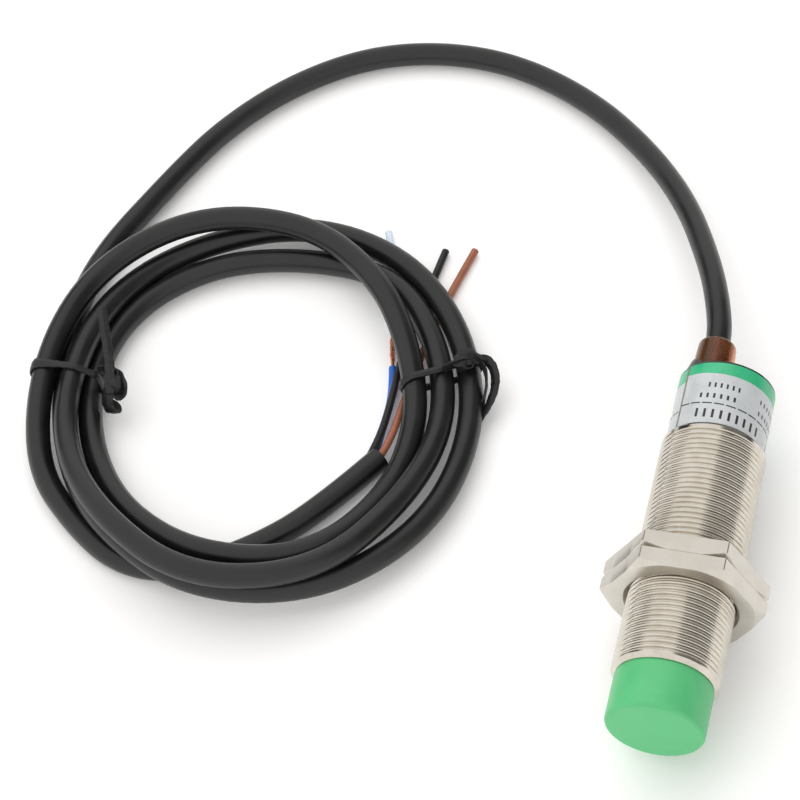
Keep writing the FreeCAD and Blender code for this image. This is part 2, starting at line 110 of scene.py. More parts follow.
def bump(mat, tex, distance_mm, strength=1.0):
    node = add_node(mat, "ShaderNodeBump")
    node.inputs["Strength"].default_value = strength
    node.inputs["Distance"].default_value = distance_mm * MM
    link(mat, tex, "Fac", node, "Height")
    shader = mat.node_tree.nodes["Principled BSDF"]
    if shader.inputs["Normal"].is_linked:
        previous = shader.inputs["Normal"].links[0].from_node
        link(mat, previous, "Normal", node, "Normal")
    link(mat, node, "Normal", shader, "Normal")


def finish_of(name, low, high, rough, tex_scale, metallic=0.0, bump_mm=0.004, stretch=(1, 1, 1),
              fine_scale=None, fine_bump=0.002, **sockets):
    """The usual finish: a mottled tone, a roughness that wanders, and one or two bumps."""
    mat = material(name, high, rough[0], metallic, **sockets)
    tex = noise_of(mat, tex_scale, stretch=stretch)
    vary_colour(mat, tex, low, high)
    vary_roughness(mat, tex, *rough)
    bump(mat, tex, bump_mm)
    if fine_scale:
        bump(mat, noise_of(mat, fine_scale, 2.0), fine_bump)
    return mat


MATS = {
    "nickel_plate": finish_of(
        "nickel_plate", (0.60, 0.56, 0.49), (0.68, 0.64, 0.575), (0.12, 0.20), 420.0,
        metallic=1.0, bump_mm=0.003, fine_scale=2600.0, fine_bump=0.0008),
    "nickel_satin": finish_of(
        "nickel_satin", (0.60, 0.565, 0.51), (0.67, 0.635, 0.58), (0.28, 0.36), 260.0,
        metallic=1.0, bump_mm=0.004, fine_scale=3800.0, fine_bump=0.003),
    "green_plastic": finish_of(
        "green_plastic", (0.098, 0.500, 0.200), (0.106, 0.528, 0.213), (0.36, 0.46), 300.0,
        bump_mm=0.006, fine_scale=5200.0, fine_bump=0.003,
        Subsurface_Weight=0.06, Subsurface_Scale=0.0012, Specular_IOR_Level=0.42),
    "ferrite": finish_of("ferrite", (0.035, 0.034, 0.036), (0.06, 0.058, 0.06), (0.55, 0.75), 1800.0,
                         bump_mm=0.01),
    "nylon_white": finish_of("nylon_white", (0.62, 0.60, 0.55), (0.72, 0.70, 0.66), (0.4, 0.5), 500.0),
    "copper": finish_of("copper", (0.60, 0.24, 0.12), (0.78, 0.36, 0.20), (0.22, 0.38), 900.0,
                        metallic=1.0, bump_mm=0.004),
    "clear_resin": finish_of("clear_resin", (0.55, 0.42, 0.20), (0.62, 0.50, 0.28), (0.15, 0.25), 200.0,
                             Transmission_Weight=0.5, IOR=1.5),
    "board_green": finish_of("board_green", (0.01, 0.12, 0.04), (0.02, 0.18, 0.06), (0.35, 0.5), 700.0),
    "chip_black": finish_of("chip_black", (0.012, 0.012, 0.013), (0.03, 0.03, 0.032), (0.5, 0.65), 2500.0,
                            bump_mm=0.005),
    "tinned_metal": finish_of("tinned_metal", (0.62, 0.62, 0.63), (0.75, 0.75, 0.76), (0.25, 0.4), 800.0,
                              metallic=1.0),
    "capacitor_tan": finish_of("capacitor_tan", (0.45, 0.30, 0.16), (0.55, 0.38, 0.22), (0.5, 0.6), 900.0),
    "lamp_red": finish_of("lamp_red", (0.55, 0.02, 0.015), (0.65, 0.03, 0.02), (0.1, 0.2), 300.0,
                          Transmission_Weight=0.6, IOR=1.5),
    "amber_plastic": finish_of(
        "amber_plastic", (0.76, 0.27, 0.065), (0.84, 0.33, 0.09), (0.16, 0.24), 500.0,
        bump_mm=0.004, Transmission_Weight=0.94, IOR=1.40),
    "resin_black": finish_of("resin_black", (0.006, 0.006, 0.007), (0.011, 0.011, 0.012), (0.22, 0.34),
                             300.0, bump_mm=0.03),
    "label_white": finish_of("label_white", (0.515, 0.54, 0.555), (0.56, 0.585, 0.60), (0.24, 0.34),
                             350.0, bump_mm=0.003, Coat_Weight=0.15, Coat_Roughness=0.2),
    "label_green": finish_of("label_green", (0.036, 0.43, 0.205), (0.044, 0.465, 0.23), (0.24, 0.34),
                             350.0, bump_mm=0.003, Coat_Weight=0.15, Coat_Roughness=0.2),
    # Dark grey on the label's cut ends and the strip along its seam: painted shade standing in for the
    # seam's shadow line, not the paper's own colour.
    "label_edge_painted_shade": finish_of("label_edge_painted_shade", (0.16, 0.15, 0.13), (0.24, 0.23, 0.20), (0.5, 0.6), 900.0),
    "label_ink": finish_of("label_ink", (0.015, 0.015, 0.017), (0.035, 0.035, 0.037), (0.3, 0.45), 2400.0,
                           bump_mm=0.002),
    "pvc_jacket": finish_of(
        "pvc_jacket", (0.0070, 0.0073, 0.0077), (0.0105, 0.0110, 0.0116), (0.27, 0.40), 170.0,
        bump_mm=0.02, fine_scale=3000.0, fine_bump=0.0035, Specular_IOR_Level=0.50),
    "pvc_black_core": finish_of("pvc_black_core", (0.012, 0.012, 0.013), (0.020, 0.020, 0.021),
                                (0.32, 0.45), 600.0, fine_scale=4000.0, Specular_IOR_Level=0.42),
    "pvc_brown": finish_of("pvc_brown", (0.30, 0.105, 0.058), (0.36, 0.130, 0.074), (0.36, 0.5), 500.0,
                           fine_scale=4000.0),
    "pvc_blue": finish_of("pvc_blue", (0.012, 0.11, 0.50), (0.02, 0.14, 0.58), (0.34, 0.48), 500.0,
                          fine_scale=4000.0),
    "pvc_pale_blue": finish_of("pvc_pale_blue", (0.70, 0.80, 0.92), (0.78, 0.86, 0.96), (0.4, 0.55), 500.0,
                               fine_scale=4000.0),
    "tie_black": finish_of("tie_black", (0.009, 0.009, 0.010), (0.018, 0.018, 0.019), (0.40, 0.58), 1400.0,
                           bump_mm=0.03, Specular_IOR_Level=0.45),
}


# ------------------------------------------------------------------ meshes
def piece(name, verts, faces, mat, body="sensor", smooth=True, ids=None, mats=None, sharp=32.0):
    """A mesh piece in the row frame, its corners given in millimetres."""
    mesh = bpy.data.meshes.new(name)
    mesh.from_pydata([[c * MM for c in v] for v in verts], [], faces)
    mesh.validate()
    obj = bpy.data.objects.new(name, mesh)
    bpy.context.scene.collection.objects.link(obj)
    for slot in (mats or [mat]):
        mesh.materials.append(MATS[slot])
    if ids:
        for polygon, index in zip(mesh.polygons, ids):
            polygon.material_index = index
    face_out(mesh)
    shade(obj, sharp if smooth else 0.0)
    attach(obj, body)
    return obj


def face_out(mesh):
    """Make the faces of each closed shell look outwards."""
    bm = bmesh.new()
    bm.from_mesh(mesh)
    bmesh.ops.recalc_face_normals(bm, faces=bm.faces)
    bm.to_mesh(mesh)
    bm.free()


def shade(obj, degrees):
    """Smooth shading, apart from edges sharper than an angle."""
    mesh = obj.data
    mesh.polygons.foreach_set("use_smooth", [degrees > 0] * len(mesh.polygons))
    if degrees > 0:
        mesh.set_sharp_from_angle(angle=math.radians(degrees))


def on_axis(station, radius, angle, across=0.0):
    """A point at a station, a radius and an angle from straight up, round the sensor's axis."""
    return (across + radius * math.sin(angle), station - HALF_LENGTH,
            AXIS_HEIGHT + radius * math.cos(angle))


def rings(stations, count, across=0.0):
    """Grid of corners for a profile of (station, radius) turned round the axis."""
    verts = []
    for station, radius in stations:
        for i in range(count):
            verts.append(on_axis(station, radius, 2 * math.pi * i / count, across))
    return verts


def band_faces(rows, count, start=0):
    faces = []
    for j in range(rows - 1):
        for i in range(count):
            k = (i + 1) % count
            a, b = start + j * count, start + (j + 1) * count
            faces.append((a + i, a + k, b + k, b + i))
    return faces


def turned(name, stations, mat, count=96, across=0.0, body="sensor", closed=False, sharp=32.0):
    """A turned solid: the profile starts and ends on the axis, or closes on itself."""
    verts = rings(stations, count, across)
    faces = band_faces(len(stations), count)
    if closed:
        last = (len(stations) - 1) * count
        for i in range(count):
            k = (i + 1) % count
            faces.append((last + i, last + k, k, i))
    else:
        for row, station in ((0, stations[0][0]), (len(stations) - 1, stations[-1][0])):
            verts.append(on_axis(station, 0.0, 0.0, across))
            hub = len(verts) - 1
            for i in range(count):
                k = (i + 1) % count
                faces.append((row * count + i, row * count + k, hub))
    return piece(name, verts, faces, mat, body, sharp=sharp)


def arc(centre, radius, start, stop, steps):
    """Points of a round in a profile, angles in degrees from the station axis."""
    points = []
    for i in range(steps + 1):
        t = math.radians(start + (stop - start) * i / steps)
        points.append((centre[0] + radius * math.cos(t), centre[1] + radius * math.sin(t)))
    return points


# ------------------------------------------------------------------ the cable's route
# One metre of cable: out of the collar, down to the floor, round to the coil, three and
# a quarter loose turns, and the last of it across the coil's middle to its cut end.
# The numbers in the three lists were not chosen by hand: a least-squares fit made them, from points
# picked along the photographed cable, and a few were changed afterwards.
ROUTE_FREE = [
    (-2.9, 23.25, 12.0), (-2.9, 39.0, 12.0), (-4.8, 48.5, 11.3), (-8.3, 59.0, 9.4),
    (-15.3, 74.4, 6.2), (-25.1, 87.4, 3.8), (-37.8, 98.5, 2.7), (-53.6, 105.9, 2.3),
    (-69.0, 107.2, 2.2), (-83.8, 103.4, 2.2), (-96.6, 94.1, 2.2), (-106.5, 81.7, 2.2),
    (-113.0, 68.2, 2.2)]
COIL_CENTRE = (-83.5, 19.0)
FIRST_TURN_ANGLE = 150
# Radius from the coil's centre and height, every 30 degrees counter-clockwise from above.
ROUTE_TURNS = [
    (45.8, 2.3), (36.6, 2.8), (35.2, 3.2), (37.8, 6.9), (42.0, 6.2), (43.4, 4.5),
    (42.7, 3.8), (40.4, 2.8), (39.8, 3.2), (40.9, 3.7), (41.5, 2.9), (38.6, 3.2),
    (36.8, 4.8), (34.0, 6.5), (35.1, 7.9), (37.6, 11.2), (42.6, 10.6), (42.4, 8.9),
    (37.0, 6.6), (35.3, 4.1), (34.7, 4.2), (36.4, 3.7), (33.4, 2.7), (33.5, 2.5),
    (33.3, 2.2), (31.4, 2.4), (30.5, 3.6), (32.6, 5.2), (35.7, 7.0), (36.9, 5.5),
    (33.2, 3.8), (30.3, 3.8), (29.3, 6.3), (32.5, 7.9), (38.2, 7.5), (40.9, 8.8),
    (41.2, 8.3), (39.8, 6.6), (40.9, 2.9)]
ROUTE_TAIL = [
    (-107.5, -12.2, 2.2), (-97.5, -18.2, 2.2), (-86.2, -17.3, 2.2), (-75.7, -10.7, 2.2),
    (-66.6, -1.4, 2.2), (-58.5, 11.5, 2.2)]


def turn_point(step, radius, height):
    angle = math.radians(FIRST_TURN_ANGLE + 30 * step)
    return (COIL_CENTRE[0] + radius * math.cos(angle), COIL_CENTRE[1] + radius * math.sin(angle), height)


CABLE_ROUTE = ROUTE_FREE + [turn_point(k, r, z) for k, (r, z) in enumerate(ROUTE_TURNS)] + ROUTE_TAIL


def cord_curve(name, route, radius, mat, body="sensor", detail=8, round_detail=6):
    """A cord as one NURBS spline with the route's points as its control points."""
    curve = bpy.data.curves.new(name, "CURVE")
    curve.dimensions = "3D"
    spline = curve.splines.new("NURBS")
    spline.points.add(len(route) - 1)
    for point, place in zip(spline.points, route):
        point.co = (place[0] * MM, place[1] * MM, place[2] * MM, 1.0)
    spline.order_u = 3
    spline.use_endpoint_u = True
    spline.resolution_u = detail
    spline.use_smooth = True
    curve.bevel_depth = radius * MM
    curve.bevel_resolution = round_detail
    curve.use_fill_caps = True
    obj = bpy.data.objects.new(name, curve)
    bpy.context.scene.collection.objects.link(obj)
    curve.materials.append(MATS[mat])
    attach(obj, body)
    return obj


def line_of(route, detail=24):
    """Points along a route's own NURBS spline, in millimetres."""
    bare = cord_curve("route_line", route, 0.0, "pvc_jacket", detail=detail)
    bare.data.use_fill_caps = False
    bpy.context.view_layer.update()
    mesh = bpy.data.meshes.new_from_object(bare)
    points = [Vector(v.co) / MM for v in mesh.vertices]
    bpy.data.objects.remove(bare, do_unlink=True)
    bpy.data.meshes.remove(mesh)
    return points


cable = cord_curve("cable_run", CABLE_ROUTE, JACKET_RADIUS, "pvc_jacket", detail=10, round_detail=8)
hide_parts("supply_cable", "cable_coil", "cable_tail")

# ------------------------------------------------------------------ camera, floor, lights
camera = bpy.data.objects.new("camera", bpy.data.cameras.new("camera"))
bpy.context.scene.collection.objects.link(camera)
camera.data.sensor_width = 36.0
camera.data.lens = 127.1
camera.data.shift_x, camera.data.shift_y = 0.0054, -0.0062
camera.matrix_world = (
    Matrix.Translation((0.04719, -0.25186, 0.41154))
    @ Matrix.Rotation(math.radians(20.97), 4, "Z")
    @ Matrix.Rotation(math.radians(90 - 54.05), 4, "X")
    @ Matrix.Rotation(math.radians(-8.93), 4, "Z"))
camera.data.clip_start, camera.data.clip_end = 0.01, 20.0
bpy.context.scene.camera = camera
bpy.context.scene.view_settings.view_transform = "Standard"

floor_mesh = bpy.data.meshes.new("floor")
HALF_FLOOR = 2.5
floor_mesh.from_pydata([(-HALF_FLOOR, -HALF_FLOOR, -0.0002), (HALF_FLOOR, -HALF_FLOOR, -0.0002),
                        (HALF_FLOOR, HALF_FLOOR, -0.0002), (-HALF_FLOOR, HALF_FLOOR, -0.0002)],
                       [], [(0, 1, 2, 3)])
floor = bpy.data.objects.new("floor", floor_mesh)
bpy.context.scene.collection.objects.link(floor)
floor_mat = material("floor_paper", (0.96, 0.96, 0.96), 0.85, Emission_Color=(1.0, 1.0, 1.0, 1.0),
                     Emission_Strength=0.10)
floor_mesh.materials.append(floor_mat)

world = bpy.data.worlds.new("studio")
bpy.context.scene.world = world
world.use_nodes = True
sky = world.node_tree.nodes["Background"]
sky_coord = world.node_tree.nodes.new("ShaderNodeTexCoord")


def sky_band(toward, narrow, wide, depth, previous):
    """A soft card, darker or brighter, in the studio round one direction seen from the object."""
    dot = world.node_tree.nodes.new("ShaderNodeVectorMath")
    dot.operation = "DOT_PRODUCT"
    dot.inputs[1].default_value = Vector(toward).normalized()
    world.node_tree.links.new(sky_coord.outputs["Generated"], dot.inputs[0])
    span = world.node_tree.nodes.new("ShaderNodeMapRange")
    span.interpolation_type = "SMOOTHSTEP"
    span.inputs["From Min"].default_value = math.cos(math.radians(wide))
    span.inputs["From Max"].default_value = math.cos(math.radians(narrow))
    span.inputs["To Min"].default_value = 1.0
    span.inputs["To Max"].default_value = depth
    world.node_tree.links.new(dot.outputs["Value"], span.inputs["Value"])
    times = world.node_tree.nodes.new("ShaderNodeMath")
    times.operation = "MULTIPLY"
    times.inputs[0].default_value = 1.0
    if previous:
        world.node_tree.links.new(previous.outputs[0], times.inputs[0])
    world.node_tree.links.new(span.outputs["Result"], times.inputs[1])
    return times


shade_of_sky = sky_band((0.78, 0.48, 0.50), 35, 44, 0.20, None)
shade_of_sky = sky_band((0.84, 0.54, 0.04), 6, 22, 0.45, shade_of_sky)
shade_of_sky = sky_band((-0.83, 0.53, 0.10), 15, 25, 0.05, shade_of_sky)
shade_of_sky = sky_band((-0.19, 0.53, 0.83), 5, 18, 1.22, shade_of_sky)
tint = world.node_tree.nodes.new("ShaderNodeValToRGB")
tint.color_ramp.elements[0].color = (0.0, 0.0, 0.0, 1.0)
tint.color_ramp.elements[1].color = (1.0, 0.985, 0.965, 1.0)
world.node_tree.links.new(shade_of_sky.outputs[0], tint.inputs["Fac"])
world.node_tree.links.new(tint.outputs["Color"], sky.inputs["Color"])
sky.inputs["Strength"].default_value = 1.08


def softbox(name, place, aim, size, power):
    """A soft light that metal doesn't reflect."""
    light = bpy.data.lights.new(name, "AREA")
    light.shape = "RECTANGLE"
    light.size, light.size_y = size
    light.energy = power
    obj = bpy.data.objects.new(name, light)
    bpy.context.scene.collection.objects.link(obj)
    obj.location = place
    obj.rotation_mode = "QUATERNION"
    obj.rotation_quaternion = (Vector(aim) - Vector(place)).to_track_quat("-Z", "Y")
    obj.visible_glossy = False
    return obj


AIM = (-0.04, 0.03, 0.01)
softbox("key_softbox", (-0.45, 0.35, 0.85), AIM, (0.9, 0.9), 2.4)
softbox("top_softbox", (0.05, 0.75, 0.70), AIM, (0.9, 0.5), 1.5)

# ------------------------------------------------------------------ threaded barrel
CREST, THREAD_DEPTH, PITCH = 9.0, 0.46, 1.0
BARREL_FRONT, CHAMFER_END, THREAD_START = 8.8, 9.5, 9.9
THREAD_END, SHOULDER, NECK_RADIUS, BARREL_END = 53.9, 54.3, 8.3, 67.6
BARREL_BORE = 7.7
# One pitch of the thread as (share of the pitch, share of the depth).
THREAD_FORM = [(0.0, 0.0), (0.09, 0.015), (0.16, 0.07), (0.22, 0.22), (0.29, 0.52), (0.36, 0.80),
               (0.42, 0.94), (0.5, 1.0), (0.58, 0.94), (0.64, 0.80), (0.71, 0.52), (0.78, 0.22),
               (0.84, 0.07), (0.91, 0.015)]
AROUND = 108
THREAD_FADE, SPARE_TURNS = 0.6, 4


def ease(x):
    x = min(1.0, max(0.0, x))
    return x * x * (3 - 2 * x)


def thread_radius(station, share):
    depth = share * THREAD_DEPTH
    depth *= ease((station - CHAMFER_END) / (THREAD_START - CHAMFER_END))
    depth *= ease((THREAD_END - station) / THREAD_FADE)
    return min(CREST - depth, CREST - (CHAMFER_END - station))


def threaded_barrel():
    """The barrel's tube with a true helical thread, cut flat at both ends of the thread."""
    bm = bmesh.new()
    form = len(THREAD_FORM)
    turns = int(SHOULDER - BARREL_FRONT) + SPARE_TURNS
    grid = []
    for i in range(AROUND):
        column = []
        for k in range(turns * form):
            share, depth = THREAD_FORM[k % form]
            station = BARREL_FRONT - SPARE_TURNS / 2 + (k // form + share + i / AROUND) * PITCH
            radius = thread_radius(station, depth)
            angle = 2 * math.pi * i / AROUND
            column.append(bm.verts.new([c * MM for c in on_axis(station, radius, angle)]))
        grid.append(column)
    for i in range(AROUND):
        here, there = grid[i], grid[(i + 1) % AROUND]
        lead = form if i == AROUND - 1 else 0
        for k in range(turns * form - 1 - lead):
            bm.faces.new((here[k], there[k + lead], there[k + 1 + lead], here[k + 1]))
    for station, clear_low in ((BARREL_FRONT, True), (SHOULDER, False)):
        bmesh.ops.bisect_plane(
            bm, geom=bm.verts[:] + bm.edges[:] + bm.faces[:], dist=1e-7,
            plane_co=(0, (station - HALF_LENGTH) * MM, 0), plane_no=(0, 1, 0),
            clear_inner=clear_low, clear_outer=not clear_low)
    middle = (SHOULDER + BARREL_FRONT) / 2 - HALF_LENGTH
    rims = [e for e in bm.edges if e.is_boundary]
    front = [e for e in rims if e.verts[0].co.y < middle * MM]
    rear = [e for e in rims if e.verts[0].co.y > middle * MM]

    def carry(edges, station, radius):
        """Extrude a rim to another station and radius, and return the new rim."""
        made = bmesh.ops.extrude_edge_only(bm, edges=edges)["geom"]
        for vert in (g for g in made if isinstance(g, bmesh.types.BMVert)):
            x, z = vert.co.x, vert.co.z - AXIS_HEIGHT * MM
            scale = radius * MM / math.hypot(x, z)
            vert.co = (x * scale, (station - HALF_LENGTH) * MM, AXIS_HEIGHT * MM + z * scale)
        return [g for g in made if isinstance(g, bmesh.types.BMEdge)]

    for station, radius in ((BARREL_FRONT, 7.85), (BARREL_FRONT + 0.1, BARREL_BORE),
                            (38.0, BARREL_BORE), (BARREL_END - 0.1, BARREL_BORE),
                            (BARREL_END, BARREL_BORE + 0.1), (BARREL_END, NECK_RADIUS - 0.12),
                            (BARREL_END - 0.12, NECK_RADIUS), (61.0, NECK_RADIUS),
                            (SHOULDER + 0.25, NECK_RADIUS), (SHOULDER, NECK_RADIUS + 0.2)):
        front = carry(front, station, radius)
    rear = carry(rear, SHOULDER + 0.03, CREST - 0.1)
    bmesh.ops.bridge_loops(bm, edges=front + rear)
    bmesh.ops.recalc_face_normals(bm, faces=bm.faces)
    mesh = bpy.data.meshes.new("barrel_threaded")
    bm.to_mesh(mesh)
    bm.free()
    obj = bpy.data.objects.new("barrel_threaded", mesh)
    bpy.context.scene.collection.objects.link(obj)
    mesh.materials.append(MATS["nickel_plate"])
    shade(obj, 50.0)
    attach(obj, "sensor")
    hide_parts("threaded_barrel")
    return obj


threaded_barrel()

# ------------------------------------------------------------------ sensing cap
CAP_RADIUS, CAP_ROUND = 8.25, 0.75
cap_profile = [(0.0, 2.0), (0.0, 4.6), (0.0, 6.6)]
cap_profile += [(CAP_ROUND - x, y) for x, y in
                arc((0.0, CAP_RADIUS - CAP_ROUND), CAP_ROUND, 0, 90, 8)]
cap_profile += [(2.4, CAP_RADIUS), (5.2, CAP_RADIUS), (8.35, CAP_RADIUS), (8.5, CAP_RADIUS - 0.05),
                (8.62, CAP_RADIUS - 0.18), (8.78, CAP_RADIUS - 0.18), (8.78, 7.66), (9.2, 7.64),
                (16.0, 7.6), (16.0, 7.08), (1.3, 7.05), (1.05, 6.8)]
cap = turned("cap_moulded", cap_profile, "green_plastic", count=128, sharp=40.0)
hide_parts("sensing_cap")

# ------------------------------------------------------------------ jam nuts
NUT_FLATS, NUT_THICKNESS, NUT_STATION = 24.0, 3.2, 23.6
NUT_BORE, BORE_CHAMFER, CHAMFER_CIRCLE = 9.06, 0.65, 12.3
CORNER_CUT = 13.80
SIDE_STEPS = [-30.0, -29.59, -28.6, -27.2, -25.5, -23.5, -21.5, -19.5, -17.5, -15.6, -13.9, -12.6,
              -9.0, -4.5, 0.0, 4.5, 9.0, 12.6, 13.9, 15.6, 17.5, 19.5, 21.5, 23.5, 25.5, 27.2, 28.6,
              29.59]


def nut(name, station, node):
    """A thin hexagon nut, its corners chamfered on the side towards the sensing face."""
    front, back, soft = station, station + NUT_THICKNESS, 0.1
    columns = []
    for side in range(6):
        for step in SIDE_STEPS:
            outline = min(NUT_FLATS / 2 / math.cos(math.radians(step)), CORNER_CUT)
            columns.append((math.radians(60 * side + step), outline))
    rows = 10
    verts = []
    for angle, outline in columns:
        slope = max(0.0, outline - CHAMFER_CIRCLE) * math.tan(math.radians(30))
        inner = min(CHAMFER_CIRCLE, outline) - soft
        profile = [(front + BORE_CHAMFER, NUT_BORE), (front, NUT_BORE + BORE_CHAMFER), (front, inner),
                   (front + soft * 0.3, inner + soft * 0.7 + max(0.0, slope * 0.02)),
                   (front + soft + slope, outline), (back - soft, outline),
                   (back - soft * 0.3, outline - soft * 0.3), (back, outline - soft),
                   (back, NUT_BORE + BORE_CHAMFER * 0.7), (back - BORE_CHAMFER * 0.7, NUT_BORE)]
        verts += [on_axis(s, r, angle) for s, r in profile]
    faces = []
    for c in range(len(columns)):
        a, b = c * rows, (c + 1) % len(columns) * rows
        for r in range(rows):
            t = (r + 1) % rows
            faces.append((a + r, b + r, b + t, a + t))
    obj = piece(name, verts, faces, "nickel_satin", body=node, sharp=24.0)
    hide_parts(node)
    return obj


nut("nut_front_chamfered", NUT_STATION, "front_nut")
nut("nut_rear_chamfered", NUT_STATION + NUT_THICKNESS, "rear_nut")

# ------------------------------------------------------------------ wrap label
LABEL_START, LABEL_END, LABEL_THICK = 54.95, 67.55, 0.11
GREEN_START = 65.6
SEAM_ANGLE, OVERLAP = -0.858, 0.34      # radians: the seam from straight up towards +X, the overlap


def label_radius(turn):
    """Outer radius round the wrap: its first stretch lies over its own end."""
    lifted = 0.13 * math.exp(-turn / 0.03)
    return NECK_RADIUS + LABEL_THICK + 0.01 + LABEL_THICK * (1 - ease((turn - OVERLAP) / 0.3)) + lifted


def print_shift(turn):
    """The print is not square to the label, so it steps towards the head at the seam."""
    return -0.95 * (1 - math.exp(-turn / 1.6))


def label_point(turn, station, lift=0.0):
    angle = SEAM_ANGLE + turn
    ripple = 0.012 * perlin.noise(Vector((math.cos(angle) * 3.0, math.sin(angle) * 3.0, station * 0.35)))
    return on_axis(station, label_radius(turn) + ripple + lift, angle)


def label_wrap():
    columns, total = 190, 2 * math.pi + OVERLAP - 0.05
    body_rows, band_rows = 14, 3
    verts, ids = [], []
    for c in range(columns + 1):
        turn = total * c / columns
        edge = GREEN_START + print_shift(turn)
        front = LABEL_START + 0.12 * math.sin(turn * 1.7 - 0.6)
        stations = [front + (edge - front) * r / body_rows for r in range(body_rows + 1)]
        stations += [edge + (LABEL_END - edge) * r / band_rows for r in range(1, band_rows + 1)]
        verts += [label_point(turn, s) for s in stations]
        verts += [label_point(turn, s, -LABEL_THICK) for s in reversed(stations)]
    ring = 2 * (body_rows + band_rows + 1)
    faces = []
    for c in range(columns):
        for r in range(ring):
            t = (r + 1) % ring
            faces.append((c * ring + r, (c + 1) * ring + r, (c + 1) * ring + t, c * ring + t))
            plain = 1 if body_rows <= r <= body_rows + band_rows else 0
            # The first strip along the seam takes the dark grey: painted shade for the seam's shadow line.
            ids.append(2 if c == 0 and r < ring // 2 else plain)
    # The cut ends take the same dark grey, painted shade.
    for c in (0, columns):
        for r in range(ring // 2 - 1):
            faces.append((c * ring + r, c * ring + r + 1, c * ring + ring - 2 - r, c * ring + ring - 1 - r))
            ids.append(2)
    obj = piece("label_sheet", verts, faces, "label_white", ids=ids,
                mats=["label_white", "label_green", "label_edge_painted_shade"], sharp=45.0)
    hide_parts("label_wrap")


label_wrap()
# Print: a dashed line round the label, and plain bars in place of its words.
INK_LIFT = 0.012
# (first turn, last turn, station, height, bar length, gap), turns in radians, lengths in millimetres
PRINT_ROWS = [
    (0.03, 6.2, 59.3, 0.24, 1.75, 0.34),
    (0.58, 1.30, 63.2, 0.95, 0.62, 0.42),
    (0.44, 1.22, 60.95, 0.95, 0.72, 0.46),
    (0.42, 1.92, 57.3, 1.75, 0.80, 0.62),
    (1.75, 3.05, 63.3, 0.85, 0.60, 0.42),
    (1.75, 3.20, 61.0, 0.85, 0.60, 0.42),
    (2.35, 3.60, 57.4, 1.10, 0.70, 0.50),
    (3.70, 5.30, 63.2, 0.85, 0.60, 0.42),
    (3.70, 5.10, 61.0, 0.85, 0.60, 0.42),
    (4.00, 5.40, 57.4, 1.10, 0.70, 0.50)]


def label_print():
    verts, faces = [], []
    for start, stop, station, height, length, gap in PRINT_ROWS:
        turn = start
        thin = height < 0.5
        while turn < stop:
            pieces = 4 if thin else 2
            span = length / label_radius(turn)
            mark = span if thin else span * 0.55
            base = len(verts)
            for i in range(pieces + 1):
                t = turn + mark * i / pieces
                middle = station + (print_shift(t) * 0.75 if thin else print_shift(t))
                for s, lift in ((-0.5, -0.03), (-0.5, INK_LIFT), (0.5, INK_LIFT), (0.5, -0.03)):
                    verts.append(label_point(t, middle + s * height, lift))
            for i in range(pieces):
                a, b = base + 4 * i, base + 4 * (i + 1)
                faces += [(a + r, b + r, b + (r + 1) % 4, a + (r + 1) % 4) for r in range(4)]
            faces += [tuple(base + r for r in range(4)),
                      tuple(base + 4 * pieces + r for r in reversed(range(4)))]
            turn += (length + gap) / label_radius(turn)
    piece("label_marks", verts, faces, "label_white", mats=["label_ink"], sharp=45.0)


label_print()

# ------------------------------------------------------------------ rear collar and resin
COLLAR_START, COLLAR_END, COLLAR_BORE = 66.0, 77.2, JACKET_RADIUS - 0.03
COLLAR_BASE, COLLAR_TIP, COLLAR_ROUND = 3.68, 3.36, 1.1
COLLAR_OFFSET = CABLE_OFFSET - 0.3
collar_profile = [(COLLAR_START, COLLAR_BORE), (COLLAR_START, COLLAR_BASE), (68.5, COLLAR_BASE - 0.02),
                  (72.0, COLLAR_BASE - 0.13)]
collar_profile += [(COLLAR_END - COLLAR_ROUND + x, y) for x, y in
                   arc((0.0, COLLAR_TIP - COLLAR_ROUND), COLLAR_ROUND, 85, 15, 8)]
collar_profile += [(COLLAR_END, COLLAR_BORE + 0.12), (COLLAR_END - 0.12, COLLAR_BORE)]
collar = turned("collar_amber", collar_profile, "amber_plastic", across=COLLAR_OFFSET, closed=True,
                sharp=50.0)
for vert in collar.data.vertices:        # the hole follows the cable, which sits off the centre
    if math.hypot(vert.co.x - COLLAR_OFFSET * MM, vert.co.z - AXIS_HEIGHT * MM) < (COLLAR_BORE + 0.2) * MM:
        vert.co.x += (CABLE_OFFSET - COLLAR_OFFSET) * MM
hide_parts("rear_plug")


